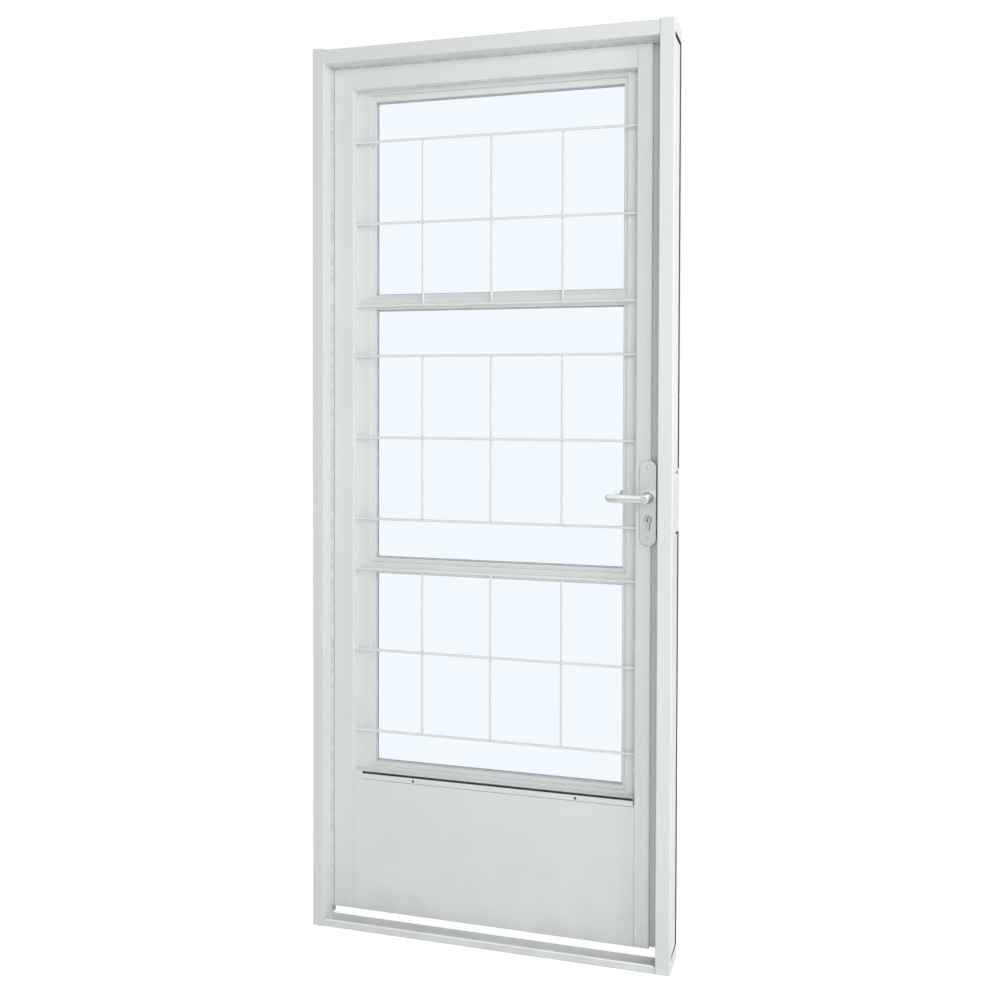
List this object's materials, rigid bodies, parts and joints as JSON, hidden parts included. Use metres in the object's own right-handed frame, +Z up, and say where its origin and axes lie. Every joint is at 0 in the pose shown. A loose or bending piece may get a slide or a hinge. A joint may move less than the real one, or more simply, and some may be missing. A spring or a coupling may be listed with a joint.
{
  "type": "steel entry door",
  "caption": "Pale steel entry door in its frame: glazed upper part behind a grille of round rods, sheet lower panel, lever handle on a long lock plate.",
  "frame": {"origin": "middle of the threshold's flat underside, on the floor", "axes": "+Z up; -Y to the outside, where the grille shows; +Y to the inside, where the door opens; +X from the hinge side to the lock side"},
  "size_m": [0.892, 0.166, 2.173],
  "materials": {
    "frame_paint": "satin very light grey paint on pressed sheet",
    "leaf_paint": "satin very light grey paint",
    "grille_paint": "satin very light grey paint on round rod",
    "satin_steel": "satin brushed",
    "glass": "clear to very lightly obscured"
  },
  "bodies": {
    "frame": {"hinge_jamb": "frame_paint", "lock_jamb": "frame_paint", "frame_head": "frame_paint", "threshold": "frame_paint", "corner_plate_bottom_left": "frame_paint", "corner_plate_bottom_right": "frame_paint", "corner_plate_top_left": "frame_paint", "corner_plate_top_right": "frame_paint", "strike_plate": "satin_steel", "strike_box": "frame_paint", "frame_hinge_lower": "frame_paint", "frame_hinge_middle": "frame_paint", "frame_hinge_upper": "frame_paint"},
    "door": {"hinge_stile": "leaf_paint", "lock_stile": "leaf_paint", "top_rail": "leaf_paint", "lower_panel": "leaf_paint", "sill_strip": "leaf_paint", "drip_sill": "leaf_paint", "sash_ring": "leaf_paint", "sash_rail_lower": "leaf_paint", "sash_rail_upper": "leaf_paint", "outer_bead_bottom": "leaf_paint", "inner_bead_bottom": "leaf_paint", "glass_bottom": "glass", "grille_bottom": "grille_paint", "outer_bead_middle": "leaf_paint", "inner_bead_middle": "leaf_paint", "glass_middle": "glass", "grille_middle": "grille_paint", "outer_bead_top": "leaf_paint", "inner_bead_top": "leaf_paint", "glass_top": "glass", "grille_top": "grille_paint", "lock_plate_outside": "satin_steel", "lock_plate_inside": "satin_steel", "key_cylinder": "satin_steel", "lock_forend": "satin_steel", "latch": "satin_steel", "dead_bolt": "satin_steel", "leaf_hinge_lower": "leaf_paint", "leaf_hinge_middle": "leaf_paint", "leaf_hinge_upper": "leaf_paint"},
    "handle": {"lever_outside": "satin_steel", "lever_inside": "satin_steel", "spindle": "satin_steel"}
  },
  "joints": [
    {"name": "door_swing", "type": "hinge", "parent": "frame", "child": "door", "pos_m": [-0.4275, 0.089, 1.09], "axis": [0, 0, 1], "range_deg": [0, 110]},
    {"name": "handle_turn", "type": "hinge", "parent": "door", "child": "handle", "pos_m": [0.3825, 0, 1.087], "axis": [0, -1, 0], "range_deg": [0, 40], "stiffness_Nm_per_rad": 1.5, "springref_deg": -34.38}
  ]
}
